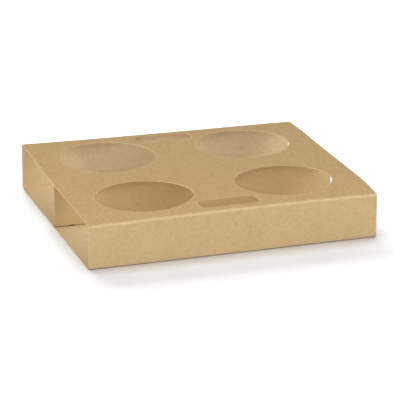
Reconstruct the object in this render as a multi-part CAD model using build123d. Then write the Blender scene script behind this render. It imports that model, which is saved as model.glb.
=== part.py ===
from build123d import *
from math import atan2, tan
import os

# Four-cup carrier folded from one sheet of kraft board, in millimetres
# X runs along the open-ended cells, Y from the front wall to the back wall, Z up
# Origin: middle of the footprint, on the surface that the carrier stands on

# The sheet and its creases
board = 0.5
crease_radius = 1.2  # inside radius of every square fold

# Cup holes, two over each cell
cup_hole = 80.0  # diameter
end_rim = 21.5  # top panel between a cup hole and an open end
middle_bridge = 39.0  # top panel between the two holes over one cell
fold_rim = 15.5  # top panel between a cup hole and a long fold
web_bridge = 29.0  # top panel between the front and rear holes, over the web

# Walls, and the middle web that holds the top a little above the long folds
wall_height = 36.0  # outside, from the ground to the fold line
crown = 2.0  # rise of the top from the long folds to its flat middle
crown_reach = 14.0  # distance from a long fold to the flat, short of the cup holes
crown_blend = 0.6  # how far the bend into the flat spreads, as a share of its distance

# Finger slots, centred on the two long folds
slot_length = 49.0
slot_width = 17.0
slot_corner = 5.5
slot_margin = 9.0  # top panel between a slot and its long fold

# Where the sheet starts and ends
floor_setback = 3.0  # from the back wall's face to the free edge of the lower floor
flap_width = 12.0  # glue flap under the top, at the head of the web

# Sizes that follow from the ones above
half_board = board / 2
pitch_along = cup_hole + middle_bridge
pitch_across = cup_hole + web_bridge
length = end_rim + cup_hole + pitch_along + end_rim
depth = fold_rim + cup_hole + pitch_across + fold_rim
crease_middle = crease_radius + half_board
top_height = wall_height + crown

# The sheet's middle line, as distances from the origin
front_line = -depth / 2 + half_board
back_line = depth / 2 - half_board
fold_line = wall_height - half_board
top_line = top_height - half_board
upper_floor_line = board + half_board
flap_line = top_line - board
crown_corner = crown_reach / (1 + crown_blend)
crown_bend = crown_blend * crown_corner / tan(atan2(crown, crown_corner) / 2)


def wrap_section():
    """Lower floor, front wall, top and upper half of the back wall, as one strip."""
    path = FilletPolyline(
        (depth / 2 - floor_setback, half_board),
        (front_line, half_board),
        (front_line, fold_line),
        (front_line + crown_corner, top_line),
        (back_line - crown_corner, top_line),
        (back_line, fold_line),
        (back_line, wall_height / 2),
        radius=[crease_middle, crease_middle, crown_bend, crown_bend, crease_middle],
    )
    return trace(path, board)


def web_section():
    """Lower half of the back wall, upper floor of the rear cell, web and glue flap."""
    path = FilletPolyline(
        (back_line, wall_height / 2),
        (back_line, upper_floor_line),
        (0, upper_floor_line),
        (0, flap_line),
        (flap_width, flap_line),
        radius=crease_middle,
    )
    return trace(path, board)


def folded_sheet():
    """The sheet's folded and glued section, run from one open end to the other."""
    section = Plane.YZ * (wrap_section() + web_section())
    return extrude(section, length / 2, both=True)


def cup_holes():
    """Cutters for the four die-cut holes, through the top only."""
    reach = top_height - wall_height / 2
    cutter = Pos(0, 0, wall_height / 2 + reach) * Cylinder(cup_hole / 2, 2 * reach)
    return [spot * cutter for spot in GridLocations(pitch_along, pitch_across, 2, 2)]


def finger_slots():
    """Cutters for the two rounded slots beside the long folds, through the top only."""
    reach = top_height - wall_height / 2
    outline = Plane.XY.offset(wall_height / 2) * RectangleRounded(slot_length, slot_width, slot_corner)
    cutter = extrude(outline, 2 * reach)
    pitch = depth - 2 * slot_margin - slot_width
    return [spot * cutter for spot in GridLocations(0, pitch, 1, 2)]


os.makedirs("parts", exist_ok=True)

cup_carrier = folded_sheet() - cup_holes() - finger_slots()
export_step(cup_carrier, "parts/cup_carrier.step")
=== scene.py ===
import math

import bpy
import numpy as np
from mathutils import Matrix, Vector


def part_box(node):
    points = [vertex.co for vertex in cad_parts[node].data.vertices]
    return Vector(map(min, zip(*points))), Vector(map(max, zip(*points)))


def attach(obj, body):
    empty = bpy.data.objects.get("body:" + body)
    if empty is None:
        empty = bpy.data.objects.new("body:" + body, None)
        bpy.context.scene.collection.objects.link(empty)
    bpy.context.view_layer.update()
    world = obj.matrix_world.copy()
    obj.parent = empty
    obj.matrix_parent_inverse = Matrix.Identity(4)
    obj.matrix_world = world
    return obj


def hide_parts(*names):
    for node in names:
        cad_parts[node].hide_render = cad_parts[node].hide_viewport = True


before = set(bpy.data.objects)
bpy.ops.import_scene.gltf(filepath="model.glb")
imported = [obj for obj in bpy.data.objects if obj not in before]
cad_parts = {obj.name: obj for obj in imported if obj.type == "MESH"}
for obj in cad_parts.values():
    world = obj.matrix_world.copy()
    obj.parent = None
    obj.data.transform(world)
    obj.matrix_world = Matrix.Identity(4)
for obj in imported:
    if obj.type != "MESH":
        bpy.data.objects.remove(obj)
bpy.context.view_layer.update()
bpy.ops.object.select_all(action="DESELECT")

# The folded sheet
# The carrier is one die-cut blank of solid kraft board, half a millimetre thick. It is creased along
# parallel lines, folded round into a flat sleeve with a web up its middle, and glued at two places:
# the rear floor on the lower floor, and the flap at the head of the web under the top.
mm = 0.001
lowest, highest = (Vector(corner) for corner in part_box("cup_carrier"))
length = highest.x - lowest.x
depth = highest.y - lowest.y
board = 0.5 * mm
half_board = board / 2
wall_height = 36.0 * mm
top_height = highest.z
crease_middle = 1.45 * mm  # radius of a crease at the middle of the board
foot_crease = 0.75 * mm  # the same at the foot of the web, where the crease is sharper
crown = 2.2 * mm  # rise of the top from its long folds
crown_corner = 24.0 * mm  # from a long fold to the soft bend beside it
crown_spread = 19.2 * mm  # how far a soft bend spreads to each side
floor_setback = 3.0 * mm  # from the back wall's face to the free edge of the lower floor
flap_width = 12.0 * mm
web_foot = -2.5 * mm  # the foot of the web stands this far forward of its head
glue_line = 0.04 * mm
cup_hole = 80.0 * mm
hole_x = 59.5 * mm  # from the carrier's middle to the middles of its cup holes
hole_y = 54.5 * mm
slot_length = 49.0 * mm
slot_width = 17.0 * mm
slot_corner = 5.5 * mm
slot_margin = 9.0 * mm  # from a finger slot to its long fold
slot_y = depth / 2 - slot_margin - slot_width / 2

front_line = -depth / 2 + half_board
back_line = depth / 2 - half_board
fold_line = wall_height - half_board
top_line = fold_line + crown
upper_floor_line = board + half_board + glue_line
flap_line = top_line - board - glue_line

# The middle line of the folded board after its lower floor, as places y, z across the carrier
folds = [
    (front_line, half_board),
    (front_line, fold_line),
    (front_line + crown_corner, top_line),
    (back_line - crown_corner, top_line),
    (back_line, fold_line),
    (back_line, upper_floor_line),
    (web_foot, upper_floor_line),
    (0.0, flap_line),
    (flap_width, flap_line),
]
soft_bends = folds[2:4]
front_fold, back_fold, foot_fold = folds[1], folds[4], folds[6]
creases = [fold for fold in folds[:-1] if fold not in soft_bends]


def near(value, target, slack=0.02 * mm):
    """Is the value within a little slack of the target?"""
    return abs(value - target) < slack


def choose_edges(piece, wanted):
    """Goes into edit mode with only the edges chosen for which wanted(start, end) is true."""
    bpy.ops.object.mode_set(mode="OBJECT")
    bpy.context.tool_settings.mesh_select_mode = (False, True, False)
    mesh = piece.data
    for item in (*mesh.polygons, *mesh.vertices):
        item.select = False
    for edge in mesh.edges:
        start, end = (mesh.vertices[index].co for index in edge.vertices)
        edge.select = wanted(start, end)
    bpy.ops.object.mode_set(mode="EDIT")


def on_fold(start, end, fold):
    """Does this edge run the length of the board along the fold?"""
    y, z = fold
    return all(near(point.y, y) and near(point.z, z) for point in (start, end))


floor_depth = depth / 2 - floor_setback - front_line
bpy.ops.mesh.primitive_plane_add(size=1, location=(0, front_line + floor_depth / 2, half_board))
sheet = bpy.context.object
sheet.name = "carrier_sheet"
sheet.scale = (length, floor_depth, 1)
bpy.ops.object.transform_apply(location=True, rotation=True, scale=True)
choose_edges(sheet, lambda start, end: on_fold(start, end, folds[0]))
for (y, z), (next_y, next_z) in zip(folds, folds[1:]):
    bpy.ops.mesh.extrude_region_move(TRANSFORM_OT_translate={"value": (0, next_y - y, next_z - z)})


def round_folds(piece, chosen, spread, steps):
    """Rounds the chosen folds of the piece in flat steps, over this spread to each side."""
    choose_edges(piece, lambda start, end: any(on_fold(start, end, fold) for fold in chosen))
    bpy.ops.mesh.bevel(offset=spread, offset_type="OFFSET", segments=steps, affect="EDGES")


# The creases are pressed round, and the bends of the top beside its long folds are wide and soft
round_folds(sheet, [crease for crease in creases if crease != foot_fold], crease_middle, steps=6)
round_folds(sheet, [foot_fold], foot_crease, steps=6)
round_folds(sheet, soft_bends, crown_spread, steps=12)
bpy.ops.object.mode_set(mode="OBJECT")


def walk_across(mesh):
    """The board's section from its first edge to its last, as y, z and the distance walked."""
    row = {point.index: point.co.copy() for point in mesh.vertices if point.co.x < 0}
    beside = {index: [] for index in row}
    for edge in mesh.edges:
        first, last = edge.vertices
        if first in row and last in row:
            beside[first].append(last)
            beside[last].append(first)
    loose_ends = [index for index in row if len(beside[index]) == 1]
    here = min(loose_ends, key=lambda index: row[index].z)
    before, walked, steps = None, 0.0, []
    while here is not None:
        steps.append((row[here].y, row[here].z, walked))
        onward = [index for index in beside[here] if index != before]
        before, here = here, onward[0] if onward else None
        if here is not None:
            walked += (row[here] - row[before]).length
    return np.array(steps)


section_y, section_z, section_walked = walk_across(sheet.data).T


def walked_to(y, z):
    """How far across the blank the folded board comes to the place y, z."""
    return float(section_walked[np.hypot(section_y - y, section_z - z).argmin()])


# The flat blank is mapped on to the folded board, in metres, so that its fibres run on over the folds
blank = sheet.data.uv_layers.new(name="blank")
for corner in sheet.data.loops:
    point = sheet.data.vertices[corner.vertex_index].co
    blank.data[corner.index].uv = (point.x, walked_to(point.y, point.z))

crease_places = [walked_to(*crease) for crease in creases]
top_start = walked_to(*front_fold)
top_end = walked_to(*back_fold)
web_start = walked_to(*foot_fold)
top_steps = (section_walked > top_start) & (section_walked < top_end)


def walked_on_top(y):
    """How far across the blank the top comes to the place y."""
    return float(np.interp(y, section_y[top_steps], section_walked[top_steps]))


blank_middle = (walked_on_top(-hole_y) + walked_on_top(hole_y)) / 2
hole_reach = (walked_on_top(hole_y) - walked_on_top(-hole_y)) / 2
slot_reach = (walked_on_top(slot_y) - walked_on_top(-slot_y)) / 2


def crosses(start, end):
    """Does this edge run across the board, from fold to fold?"""
    return near(start.x, end.x)


# Each panel gets an even grid, fine enough to take the small bows of real board
grid = 3.0 * mm
hair = 0.001 * mm
spans = set()
for edge in sheet.data.edges:
    start, end = (sheet.data.vertices[index].co for index in edge.vertices)
    if crosses(start, end):
        spans.add(round((end - start).length, 6))
for span in sorted(spans):
    cuts = round(span / grid) - 1
    if cuts > 0:
        choose_edges(sheet, lambda start, end: (
            crosses(start, end) and near((end - start).length, span, slack=hair)))
        bpy.ops.mesh.subdivide(number_cuts=cuts)
choose_edges(sheet, lambda start, end: not crosses(start, end))
bpy.ops.mesh.subdivide(number_cuts=round(length / grid) - 1)

# The board's outside looks outwards, so the topmost face has to look up
bpy.ops.mesh.select_all(action="SELECT")
bpy.ops.mesh.normals_make_consistent(inside=False)
bpy.ops.object.mode_set(mode="OBJECT")
topmost = max(sheet.data.polygons, key=lambda face: face.center.z)
if topmost.normal.z < 0:
    sheet.data.flip_normals()


def add_node(tree, kind, **settings):
    """A new shader node with these settings, each a property of the node or one of its sockets."""
    node = tree.nodes.new(kind)
    for name, value in settings.items():
        if hasattr(node, name):
            setattr(node, name, value)
        else:
            node.inputs[name.replace("_", " ")].default_value = value
    return node


def work_out(tree, operation, *values):
    """One step of arithmetic on sockets and plain numbers."""
    node = add_node(tree, "ShaderNodeMath", operation=operation)
    for socket, value in zip(node.inputs, values):
        if isinstance(value, (int, float)):
            socket.default_value = value
        else:
            tree.links.new(value, socket)
    return node.outputs[0]


def fade(tree, value, start, end, low=0.0, high=1.0):
    """Low where the value hasn't come to start, high where it is past end, and smooth between."""
    node = add_node(tree, "ShaderNodeMapRange", interpolation_type="SMOOTHSTEP",
                    From_Min=start, From_Max=end, To_Min=low, To_Max=high)
    tree.links.new(value, node.inputs["Value"])
    return node.outputs[0]


def tint(tree, colour, other, amount):
    """Colour moved towards another by amount, from 0 to 1."""
    node = add_node(tree, "ShaderNodeMix", data_type="RGBA", clamp_factor=True)
    amount_in, colour_in, other_in = node.inputs[0], node.inputs[6], node.inputs[7]
    mixed = node.outputs[2]
    for socket, value in ((colour_in, colour), (other_in, other)):
        if isinstance(value, tuple):
            socket.default_value = (*value, 1.0)
        else:
            tree.links.new(value, socket)
    tree.links.new(amount, amount_in)
    return mixed


def pulp(tree, place, shift, size, drawn_out, turn, detail=1.0, roughness=0.5):
    """Cloudy noise on the blank, its spots size across and drawn out along a line turned by degrees."""
    across_shift = shift * 1.7
    turned = add_node(tree, "ShaderNodeMapping", vector_type="TEXTURE", Location=(shift, across_shift, 0),
                      Rotation=(0, 0, math.radians(turn)), Scale=(size * drawn_out, size, 1))
    tree.links.new(place, turned.inputs["Vector"])
    noise = add_node(tree, "ShaderNodeTexNoise", noise_dimensions="2D",
                     Scale=1.0, Detail=detail, Roughness=roughness)
    tree.links.new(turned.outputs[0], noise.inputs["Vector"])
    return noise.outputs["Fac"]


def diagonal(tree, along, across):
    """Length of the diagonal of two distances."""
    squares = [work_out(tree, "MULTIPLY", side, side) for side in (along, across)]
    return work_out(tree, "SQRT", work_out(tree, "ADD", *squares))


def from_cut(tree, x, walked):
    """Distance on the blank to the rim of the nearest cup hole or finger slot."""
    wide = work_out(tree, "ABSOLUTE", x)
    deep = work_out(tree, "ABSOLUTE", work_out(tree, "SUBTRACT", walked, blank_middle))

    hole_wide = work_out(tree, "SUBTRACT", wide, hole_x)
    hole_deep = work_out(tree, "SUBTRACT", deep, hole_reach)
    ring = diagonal(tree, hole_wide, hole_deep)
    to_hole = work_out(tree, "ABSOLUTE", work_out(tree, "SUBTRACT", ring, cup_hole / 2))

    # A slot is the rectangle between the middles of its round corners, grown by their radius
    past_x = work_out(tree, "SUBTRACT", wide, slot_length / 2 - slot_corner)
    off_line = work_out(tree, "ABSOLUTE", work_out(tree, "SUBTRACT", deep, slot_reach))
    past_y = work_out(tree, "SUBTRACT", off_line, slot_width / 2 - slot_corner)
    beyond = [work_out(tree, "MAXIMUM", past, 0.0) for past in (past_x, past_y)]
    outside = diagonal(tree, *beyond)
    inside = work_out(tree, "MINIMUM", work_out(tree, "MAXIMUM", past_x, past_y), 0.0)
    to_slot = work_out(tree, "SUBTRACT", work_out(tree, "ADD", outside, inside), slot_corner)
    return work_out(tree, "MINIMUM", to_hole, work_out(tree, "ABSOLUTE", to_slot))


def from_crease(tree, walked):
    """Distance on the blank to the nearest crease."""
    nearest = None
    for place in crease_places:
        distance = work_out(tree, "ABSOLUTE", work_out(tree, "SUBTRACT", walked, place))
        nearest = distance if nearest is None else work_out(tree, "MINIMUM", nearest, distance)
    return nearest


def new_finish(name):
    """A new material, with its node tree and its shader."""
    material = bpy.data.materials.new(name)
    material.use_nodes = True
    tree = material.node_tree
    return material, tree, tree.nodes["Principled BSDF"]


def roughen(tree, shader, height, strength, distance):
    """Makes light fall on the surface as if this height, from 0 to 1, stood out from it."""
    bump = add_node(tree, "ShaderNodeBump", Strength=strength, Distance=distance)
    tree.links.new(height, bump.inputs["Height"])
    tree.links.new(bump.outputs[0], shader.inputs["Normal"])


# What the faces have in common: shares of a colour's red, green and blue for its pale and dark spots,
# how strong the clouds, grit and flecks are, how much more the top shows, where wear, the painted
# highlight on the creases and the painted shade at the left end stop, and the painted shade on the lower
# floor under the rear one, which shows dark in the gap at the foot of the web
pale_shares = (1.25, 1.31, 1.43)
dark_shares = (0.75, 0.69, 0.58)
cloud_share = 0.6
grit_share = 0.4
fleck_strength = 0.7
fleck_shift = 0.3
more_mottle = 0.7
more_fibre = 0.6
full_wear_and_highlight = 0.5 * mm
rim_wear = 1.7 * mm
crease_wear_and_highlight_end = 1.6 * mm
crease_wear_and_highlight = 0.52
full_end_shade = -length / 2 - 4 * mm
end_shade_gone = -length / 2 + 30 * mm
under_web = depth / 2 - floor_setback - web_foot
full_gap_shade = under_web - 0.35 * mm
gap_shade_end = under_web + 0.15 * mm
gap_shade_brown = (0.25, 0.15, 0.035)
rough_spread = 0.07


def kraft_face(name, colour, top_painted_light_colour, web_painted_light_colour, wear_and_highlight, mottle, fibre, rim, rough, shift,
               end_shade, inside):
    """One face of the board: clouded pulp, loose fibres, flecks, wear at its cuts and creases, a painted
    highlight on the creases, painted light on the top and web, and painted shade at the left end and at
    the foot of the web.
    """
    material, tree, shader = new_finish(name)
    place = add_node(tree, "ShaderNodeUVMap", uv_map="blank").outputs[0]
    split = add_node(tree, "ShaderNodeSeparateXYZ")
    tree.links.new(place, split.inputs[0])
    x, walked = split.outputs[0], split.outputs[1]
    pale = tuple(value * share for value, share in zip(colour, pale_shares))
    dark = tuple(value * share for value, share in zip(colour, dark_shares))

    clouds = pulp(tree, place, shift, size=14 * mm, drawn_out=1.5, turn=0, detail=4.0, roughness=0.6)
    lumps = pulp(tree, place, shift, size=3.2 * mm, drawn_out=1.4, turn=12, detail=3.0, roughness=0.65)
    grit = pulp(tree, place, shift, size=2.4 * mm, drawn_out=1.2, turn=-8)
    long_fibres = pulp(tree, place, shift, size=0.22 * mm, drawn_out=14, turn=4)
    turned_fibres = pulp(tree, place, shift, size=0.24 * mm, drawn_out=11, turn=38)
    crossed_fibres = pulp(tree, place, shift, size=0.24 * mm, drawn_out=11, turn=-52)
    flecks = pulp(tree, place, shift + fleck_shift, size=0.6 * mm, drawn_out=2.4, turn=25, roughness=0.4)

    # The top is painted a warmer, brighter brown and the web a paler one, as painted light, and the top
    # is the most mottled
    past_front = fade(tree, walked, top_start, top_start + grid)
    before_back = fade(tree, walked, top_end - grid, top_end, low=1.0, high=0.0)
    on_top = work_out(tree, "MULTIPLY", past_front, before_back)
    on_web = fade(tree, walked, web_start - grid, web_start + grid)
    body = tint(tree, tint(tree, colour, top_painted_light_colour, on_top), web_painted_light_colour, on_web)
    lumpy = work_out(tree, "MULTIPLY_ADD", on_top, mottle * more_mottle, mottle)
    gritty = work_out(tree, "MULTIPLY_ADD", on_top, mottle * more_mottle, mottle * grit_share)
    fibrous = work_out(tree, "MULTIPLY_ADD", on_top, fibre * more_fibre, fibre)

    # Each layer of the pulp, the values of its noise that it fades in between, its colour and strength
    for layer, start, end, other, strength in (
        (clouds, 0.45, 0.75, pale, mottle * cloud_share),
        (clouds, 0.52, 0.25, dark, mottle * cloud_share),
        (lumps, 0.50, 0.75, pale, lumpy),
        (lumps, 0.50, 0.25, dark, lumpy),
        (grit, 0.52, 0.75, pale, gritty),
        (grit, 0.52, 0.28, dark, gritty),
        (long_fibres, 0.60, 0.74, pale, fibrous),
        (turned_fibres, 0.63, 0.76, pale, fibrous),
        (crossed_fibres, 0.64, 0.77, dark, fibrous),
        (flecks, 0.72, 0.79, dark, fleck_strength),
    ):
        amount = work_out(tree, "MULTIPLY", fade(tree, layer, start, end), strength)
        body = tint(tree, body, other, amount)

    # Patches of the cut rims are worn paler; the same patches break up the crease wear and its painted
    # highlight
    patchy_wear_and_highlight = fade(tree, lumps, 0.30, 0.60, low=0.6, high=1.0)
    worn_rim = fade(tree, from_cut(tree, x, walked), full_wear_and_highlight, rim_wear, low=rim, high=0.0)
    body = tint(tree, body, wear_and_highlight, work_out(tree, "MULTIPLY", worn_rim, patchy_wear_and_highlight))
    # Painted shade, darkest at the left end and gone some way in
    painted_shade = fade(tree, x, full_end_shade, end_shade_gone, low=end_shade, high=0.0)
    if inside:
        # It gets painted shade at the left end, and painted shade on the lower floor under the rear one,
        # which shows dark in the gap at the foot of the web
        body = tint(tree, body, dark, painted_shade)
        gap_shade = fade(tree, walked, full_gap_shade, gap_shade_end, low=1.0, high=0.0)
        body = tint(tree, body, gap_shade_brown, gap_shade)
    else:
        # Its creases are worn and carry a painted highlight, and only its web, between the cells, gets
        # painted shade at the left end
        creased_wear_and_highlight = fade(tree, from_crease(tree, walked), full_wear_and_highlight, crease_wear_and_highlight_end, low=crease_wear_and_highlight, high=0.0)
        body = tint(tree, body, wear_and_highlight, work_out(tree, "MULTIPLY", creased_wear_and_highlight, patchy_wear_and_highlight))
        body = tint(tree, body, dark, work_out(tree, "MULTIPLY", painted_shade, on_web))
    tree.links.new(body, shader.inputs["Base Color"])

    patchy = fade(tree, grit, 0.3, 0.7, low=rough - rough_spread, high=rough + rough_spread)
    tree.links.new(patchy, shader.inputs["Roughness"])
    shader.inputs["Specular IOR Level"].default_value = 0.12
    felt = 0.0
    for layer, share in ((lumps, 0.9), (grit, 0.7), (long_fibres, 0.25), (turned_fibres, 0.25)):
        felt = work_out(tree, "MULTIPLY_ADD", layer, share, felt)
    roughen(tree, shader, felt, strength=0.6, distance=0.16 * mm)
    return material


spots_per_metre = 900
layers_per_metre = 9000
# How near the table the raw edge carries painted shade, fully and then fading
full_contact_shade = 1.0 * mm
contact_shade_end = 5.0 * mm


def cut_board(name, colour, pale, dark, painted_shade):
    """The raw edge that the die leaves: packed layers of pulp, torn a little and never smooth, with
    painted shade near the table.
    """
    material, tree, shader = new_finish(name)
    place = add_node(tree, "ShaderNodeTexCoord").outputs["Object"]
    grain = (spots_per_metre, spots_per_metre, layers_per_metre)
    squeezed = add_node(tree, "ShaderNodeMapping", Scale=grain)
    tree.links.new(place, squeezed.inputs["Vector"])
    noise = add_node(tree, "ShaderNodeTexNoise", Scale=1.0, Detail=3.0, Roughness=0.6)
    tree.links.new(squeezed.outputs[0], noise.inputs["Vector"])
    packed = noise.outputs["Fac"]
    split = add_node(tree, "ShaderNodeSeparateXYZ")
    tree.links.new(place, split.inputs[0])
    height = split.outputs[2]
    body = tint(tree, colour, pale, fade(tree, packed, 0.50, 0.72, low=0.0, high=0.6))
    body = tint(tree, body, dark, fade(tree, packed, 0.28, 0.48, low=0.7, high=0.0))
    # Painted shade: the edge is darker within a few millimetres of the table, as a contact shadow
    body = tint(tree, body, painted_shade, fade(tree, height, full_contact_shade, contact_shade_end, low=0.9, high=0.0))
    tree.links.new(body, shader.inputs["Base Color"])
    shader.inputs["Roughness"].default_value = 0.95
    shader.inputs["Specular IOR Level"].default_value = 0.2
    roughen(tree, shader, packed, strength=0.7, distance=0.05 * mm)
    return material


# The face outside is brown, with painted light that makes its top warmer and its web paler, the one
# inside a little paler and greyer, and a cut shows the raw pulp
inside_brown = (0.693, 0.54, 0.331)
outside_face = kraft_face(
    "kraft_outside", colour=(0.541, 0.372, 0.1925), top_painted_light_colour=(0.569, 0.380, 0.182),
    web_painted_light_colour=(0.632, 0.449, 0.232), wear_and_highlight=(0.698, 0.518, 0.31), mottle=0.19, fibre=0.22,
    rim=0.40, rough=0.85, shift=0.0, end_shade=0.45, inside=False)
inside_face = kraft_face(
    "kraft_inside", colour=inside_brown, top_painted_light_colour=inside_brown, web_painted_light_colour=inside_brown,
    wear_and_highlight=(0.775, 0.645, 0.443), mottle=0.20, fibre=0.26,
    rim=0.30, rough=0.9, shift=0.41, end_shade=0.6, inside=True)
raw_edge = cut_board(
    "kraft_cut_edge", colour=(0.48, 0.35, 0.19), pale=(0.60, 0.455, 0.275),
    dark=(0.37, 0.25, 0.13), painted_shade=(0.27, 0.18, 0.09))
for finish in (outside_face, inside_face, raw_edge):
    sheet.data.materials.append(finish)
inside_slot = 1
edge_slot = 2


def apply_modifier(piece, kind, **settings):
    """Adds a modifier to the piece with these settings, and applies it."""
    bpy.context.view_layer.objects.active = piece
    modifier = piece.modifiers.new(kind.lower(), kind)
    for name, value in settings.items():
        setattr(modifier, name, value)
    bpy.ops.object.modifier_apply(modifier=modifier.name)


apply_modifier(sheet, "SOLIDIFY", thickness=board, offset=0, use_even_offset=True,
               material_offset=inside_slot, material_offset_rim=edge_slot)


def cut_out(piece, cutter):
    """Cuts the cutter's shape out of the piece, and takes the cutter away."""
    for finish in piece.data.materials:
        cutter.data.materials.append(finish)
    for face in cutter.data.polygons:
        face.material_index = edge_slot
    apply_modifier(piece, "BOOLEAN", operation="DIFFERENCE", solver="EXACT", object=cutter)
    bpy.data.objects.remove(cutter, do_unlink=True)


# The die cuts four cup holes and two finger slots through the top
for across in (-1, 1):
    for along in (-1, 1):
        bpy.ops.mesh.primitive_cylinder_add(vertices=192, radius=cup_hole / 2, depth=wall_height,
                                            location=(along * hole_x, across * hole_y, top_height))
        bpy.ops.object.transform_apply(location=True, rotation=True, scale=True)
        cut_out(sheet, bpy.context.object)
    bpy.ops.mesh.primitive_cube_add(size=1, location=(0, across * slot_y, top_height))
    slot = bpy.context.object
    slot.scale = (slot_length, slot_width, wall_height)
    bpy.ops.object.transform_apply(location=True, rotation=True, scale=True)
    choose_edges(slot, lambda start, end: not near(start.z, end.z))
    bpy.ops.mesh.bevel(offset=slot_corner, offset_type="OFFSET", segments=16, affect="EDGES")
    bpy.ops.object.mode_set(mode="OBJECT")
    cut_out(sheet, slot)

# Real board doesn't stay true. The top sags about a millimetre between its long folds, and its back
# left corner stands highest. The lower half of the sleeve stands a little to the left, and the floor's
# back left corner is just off the table. The rear floor comes unstuck in ripples along the foot of the
# web, most of all at a bump near the left end. At the right the web and back wall end a little short.
# Each row of the bow has four heights, in millimetres, that pull the board from its front fold to its
# back one, and the rows follow each other from the left end to the right.
bow = [
    [0.3, -1.9, -2.1, 3.6],
    [1.5, -1.8, -2.5, 1.1],
    [2.5, -0.4, -1.1, 0.8],
    [0.6, 1.1, -2.5, -0.6],
]
bow_power = 1.5  # the walls bow the less, the lower down they are
corner_lift = 0.6 * mm
side_lean = 0.8 * mm
foot_reach = 16 * mm
foot_slack = 2 * mm
foot_gap = 0.12 * mm
ripple_share = 0.4
ripple_length = 7 * mm
end_gap = 0.35 * mm
end_width = 5 * mm
bump_gap = 0.75 * mm
bump_width = 2.2 * mm
bump_x = -106 * mm
web_short = 0.7 * mm
web_slack = 1.5 * mm
back_short = 0.4 * mm
short_power = 6  # only the right end is short


def weights(share):
    """The four smooth weights that blend a row of the bow's values at a share of the way along."""
    rest = 1 - share
    return rest ** 3, 3 * share * rest ** 2, 3 * share ** 2 * rest, share ** 3


# The x, y and z are views of the places, so that a change to one of them moves the points
places = np.empty(len(sheet.data.vertices) * 3)
sheet.data.vertices.foreach_get("co", places)
x, y, z = places[0::3], places[1::3], places[2::3]
share_x = np.clip(x / length + 0.5, 0, 1)
share_y = np.clip(y / depth + 0.5, 0, 1)
share_z = np.clip(z / fold_line, 0, 1)

lift = np.zeros(len(x))
for row, weight_x in zip(bow, weights(share_x)):
    for value, weight_y in zip(row, weights(share_y)):
        lift += value * mm * weight_x * weight_y
floor_lift = corner_lift * weights(share_x)[0] * weights(share_y)[-1]

beside_foot = np.clip(1 - np.abs(y - web_foot) / foot_reach, 0, 1) ** 2
unstuck = beside_foot * (z > board + glue_line / 2) * (y > web_foot - foot_slack)
ripple = foot_gap * (1 + ripple_share * np.sin(x / ripple_length))
ripple += end_gap * np.exp(-((x + length / 2) / end_width) ** 2)
ripple += bump_gap * np.exp(-((x - bump_x) / bump_width) ** 2)

in_web = np.abs(y) < crease_middle + web_slack
in_back_wall = y > back_line - crease_middle
upright = (share_z > 0.1) * (share_z < 0.9)
short = (web_short * in_web + back_short * in_back_wall) * upright
at_mid_height = np.sin(math.pi * share_z)
z += lift * share_z ** bow_power + (floor_lift + ripple * unstuck) * (1 - share_z)
x -= side_lean * (1 - share_z) + short * share_x ** short_power * at_mid_height
sheet.data.vertices.foreach_set("co", places)
sheet.data.update()
bpy.ops.object.select_all(action="DESELECT")
sheet.select_set(True)
sharpest_smooth = math.radians(35)
bpy.ops.object.shade_smooth_by_angle(angle=sharpest_smooth)

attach(sheet, "root")
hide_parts("cup_carrier")

# The table
# A plain white table top under the carrier. It keeps the carrier's soft shadow, and away from the
# carrier it fades, for what the camera sees only, into the white of the room behind it.
white = (1.0, 1.0, 1.0, 1.0)
table_size = 12.0
table_colour = (0.45, 0.45, 0.45)
seen_colour = (0.90, 0.90, 0.90)
fade_start = 0.35
fade_end = 0.9


def seen_directly(tree):
    """1 for what the camera sees, straight or in a gloss or glass, and 0 for light on its way."""
    path = add_node(tree, "ShaderNodeLightPath")
    direct = work_out(tree, "MAXIMUM", path.outputs["Is Camera Ray"], path.outputs["Is Glossy Ray"])
    return work_out(tree, "MAXIMUM", direct, path.outputs["Is Transmission Ray"])


def blend_shaders(tree, first, second, amount, output_kind):
    """The tree's surface, moved from its first shader to its second by amount, from 0 to 1."""
    blend = add_node(tree, "ShaderNodeMixShader")
    tree.links.new(amount, blend.inputs[0])
    tree.links.new(first.outputs[0], blend.inputs[1])
    tree.links.new(second.outputs[0], blend.inputs[2])
    output = add_node(tree, output_kind)
    tree.links.new(blend.outputs[0], output.inputs["Surface"])


bpy.ops.mesh.primitive_plane_add(size=table_size)
table = bpy.context.object
table.name = "table_top"
table_finish = bpy.data.materials.new("white_table")
table_finish.use_nodes = True
table_tree = table_finish.node_tree
table_tree.nodes.clear()
seen = seen_directly(table_tree)
matt = add_node(table_tree, "ShaderNodeBsdfDiffuse")
table_tree.links.new(tint(table_tree, table_colour, seen_colour, seen), matt.inputs["Color"])
haze = add_node(table_tree, "ShaderNodeEmission", Color=white, Strength=1.0)
from_middle = add_node(table_tree, "ShaderNodeVectorMath", operation="LENGTH")
table_place = add_node(table_tree, "ShaderNodeTexCoord").outputs["Object"]
table_tree.links.new(table_place, from_middle.inputs[0])
faded = fade(table_tree, from_middle.outputs["Value"], fade_start, fade_end)
seen_faded = work_out(table_tree, "MULTIPLY", faded, seen)
blend_shaders(table_tree, matt, haze, seen_faded, "ShaderNodeOutputMaterial")
table.data.materials.append(table_finish)

# The room and its lamps
# A white studio gives a little even light from all round, and the camera sees it as pure white.
# Soft lamps stand round the carrier, and flags keep them off the table. Four more, behind and over
# it, light the table alone, so that it comes out white and keeps the carrier's shadow.
room_light = 0.20
room = bpy.data.worlds.new("white_room")
bpy.context.scene.world = room
room.use_nodes = True
room_tree = room.node_tree
room_tree.nodes.clear()
even = add_node(room_tree, "ShaderNodeBackground", Color=white, Strength=room_light)
backdrop = add_node(room_tree, "ShaderNodeBackground", Color=white, Strength=1.0)
blend_shaders(room_tree, even, backdrop, seen_directly(room_tree), "ShaderNodeOutputWorld")

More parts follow.
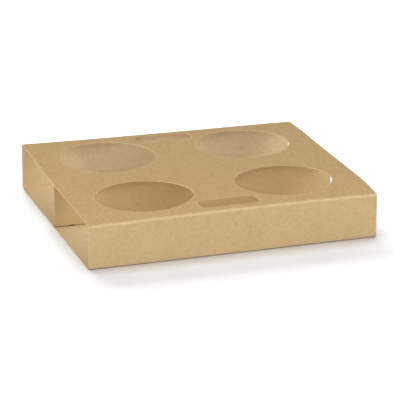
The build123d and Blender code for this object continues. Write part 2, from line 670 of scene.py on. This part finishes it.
carrier_only = bpy.data.collections.new("carrier_only")
carrier_only.objects.link(sheet)
table_only = bpy.data.collections.new("table_only")
table_only.objects.link(table)
lamp_target = Vector((0, 0, 0.02))


def soft_lamp(name, place, power, size=1.0, colour=(1.0, 1.0, 1.0), lights=carrier_only):
    """A square studio lamp at place, turned towards the carrier, that lights one group only."""
    bpy.ops.object.light_add(type="AREA", location=place)
    lamp = bpy.context.object
    lamp.name = name
    lamp.data.shape = "SQUARE"
    lamp.data.size = size
    lamp.data.energy = power
    lamp.data.color = colour
    aim = lamp_target - Vector(place)
    lamp.rotation_euler = aim.to_track_quat("-Z", "Y").to_euler()
    lamp.light_linking.receiver_collection = lights


soft_lamp("back_table_lamp", (-0.2, 1.5, 0.9), power=21.8, lights=table_only)
soft_lamp("middle_table_lamp", (0.2, 1.55, 0.9), power=10.1, lights=table_only)
soft_lamp("right_table_lamp", (1.1, 1.1, 0.9), power=7.5, lights=table_only)
soft_lamp("top_table_lamp", (0.0, 0.1, 1.5), power=17.9, size=1.2, lights=table_only)
soft_lamp("right_side_lamp", (1.5, 0.1, 0.8), power=5.9, colour=(1.0, 0.948, 0.897))
soft_lamp("high_right_lamp", (1.3, -0.5, 1.2), power=5.35, colour=(1.0, 0.982, 0.957))
soft_lamp("left_side_lamp", (-1.5, 0.1, 0.8), power=10.7)
soft_lamp("left_end_lamp", (-1.6, 0.3, 0.3), power=18.6, size=0.6, colour=(1.0, 0.985, 0.972))
soft_lamp("front_left_lamp", (-1.2, -1.2, 0.7), power=8.4, colour=(0.939, 0.983, 1.0))
soft_lamp("front_right_lamp", (1.2, -1.2, 0.7), power=9.1, colour=(0.937, 0.973, 1.0))
soft_lamp("front_lamp", (0.3, -1.7, 0.5), power=7.1, colour=(0.91, 0.941, 1.0))
soft_lamp("low_left_lamp", (-1.4, -0.9, 0.2), power=9.35, size=0.5, colour=(0.907, 0.956, 1.0))
soft_lamp("low_right_lamp", (1.3, -1.3, 0.12), power=4.8, size=0.35, colour=(1.0, 0.99, 0.988))

# The camera
# It stands a little over two metres off, in front and a little to the left, and looks down on the
# carrier through a long lens, aimed a few millimetres off the carrier's middle.
camera_yaw = math.radians(17.039)
camera_pitch = math.radians(18.546)
camera_roll = math.radians(-0.733)
camera_distance = 2.2726
camera_sight = 20.0
focal_pixels = 2718.65
picture_pixels = 400
sensor_width = 36.0
aim_height = 0.019
slide_right = -0.004449
slide_up = 0.008317

ahead = Vector((math.sin(camera_yaw) * math.cos(camera_pitch),
                math.cos(camera_yaw) * math.cos(camera_pitch),
                -math.sin(camera_pitch)))
level_right = Vector((math.cos(camera_yaw), -math.sin(camera_yaw), 0.0))
level_up = level_right.cross(ahead)
right = math.cos(camera_roll) * level_right + math.sin(camera_roll) * level_up
up = math.cos(camera_roll) * level_up - math.sin(camera_roll) * level_right
bpy.ops.object.camera_add()
camera = bpy.context.object
camera.name = "photo_camera"
camera.data.sensor_width = sensor_width
camera.data.lens = focal_pixels / picture_pixels * sensor_width
camera.data.clip_end = camera_sight
turned = Matrix((right, up, -ahead)).transposed().to_4x4()
spot = Vector((0, 0, aim_height)) - ahead * camera_distance - right * slide_right - up * slide_up
camera.matrix_world = Matrix.Translation(spot) @ turned
bpy.context.scene.camera = camera
bpy.context.scene.view_settings.view_transform = "Standard"
